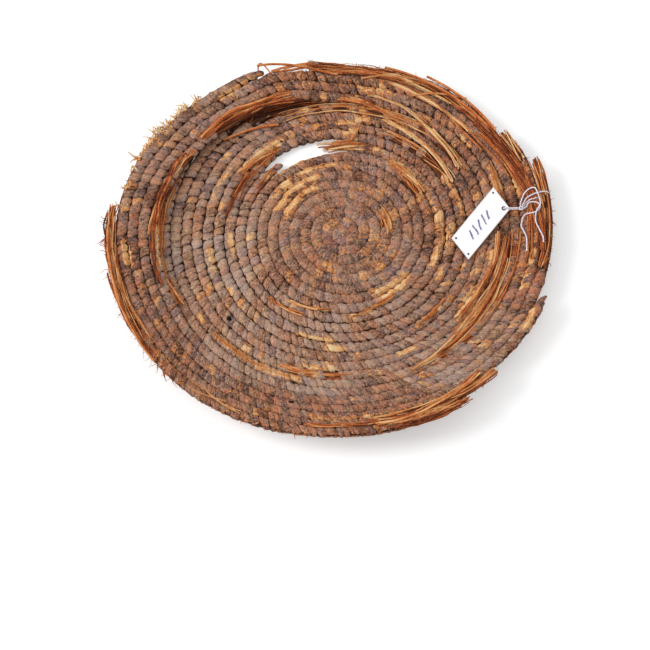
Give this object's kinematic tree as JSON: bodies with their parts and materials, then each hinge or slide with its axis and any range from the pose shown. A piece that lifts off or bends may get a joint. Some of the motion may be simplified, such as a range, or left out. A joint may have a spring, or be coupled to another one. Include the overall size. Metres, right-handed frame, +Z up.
{
  "type": "coiled basketry tray",
  "caption": "Shallow round coiled basket tray of sewn stem bundles, worn and torn at its rim, with a blank paper tag tied on by a cotton thread.",
  "frame": {"origin": "under the middle of the tray's outline, on the surface that it stands on", "axes": "+Z up out of the dish, +X towards the side with the paper tag, -Y towards the highest part of the rim"},
  "size_m": [0.182, 0.176, 0.0152],
  "materials": {
    "stem_bundle": "bare orange-brown dried stems, matt",
    "sewing_strip": "grey-brown aged flat plant strip, matt, with orange-brown where the skin is worn off",
    "loose_stem": "light tan split stem, matt",
    "paper": "white paper card, matt",
    "cotton_thread": "white twisted cotton thread"
  },
  "bodies": {
    "tray": {"bundle_core": "stem_bundle", "bundle_fourth": "stem_bundle", "bundle_middle": "stem_bundle", "bundle_rim": "stem_bundle", "bundle_second": "stem_bundle", "bundle_third": "stem_bundle", "bundle_under": "stem_bundle", "sewing_core_01": "sewing_strip", "sewing_core_02": "sewing_strip", "sewing_core_03": "sewing_strip", "sewing_core_04": "sewing_strip", "sewing_core_05": "sewing_strip", "sewing_core_06": "sewing_strip", "sewing_core_07": "sewing_strip", "sewing_core_08": "sewing_strip", "sewing_core_09": "sewing_strip", "sewing_fourth_01": "sewing_strip", "sewing_middle_01": "sewing_strip", "sewing_middle_02": "sewing_strip", "sewing_middle_03": "sewing_strip", "sewing_middle_04": "sewing_strip", "sewing_middle_05": "sewing_strip", "sewing_middle_06": "sewing_strip", "sewing_rim_01": "sewing_strip", "sewing_second_01": "sewing_strip", "sewing_second_02": "sewing_strip", "sewing_second_03": "sewing_strip", "sewing_third_01": "sewing_strip", "sewing_third_02": "sewing_strip", "sewing_under_01": "sewing_strip", "stem_in_gap": "loose_stem", "straw_far_right": "loose_stem", "straw_left": "loose_stem", "straw_right": "loose_stem", "straw_top": "loose_stem", "strip_across_gap": "sewing_strip", "thread_arc_tail": "cotton_thread", "thread_knot": "cotton_thread", "thread_rim_loop": "cotton_thread", "thread_ring_tail": "cotton_thread"},
    "tag": {"tag_card": "paper", "thread_tie": "cotton_thread"}
  },
  "joints": [
    {"name": "tag_lift", "type": "hinge", "parent": "tray", "child": "tag", "pos_m": [0.07882, 0.01876, 0.00804], "axis": [0, 1, 0], "range_deg": [0, 110]}
  ]
}
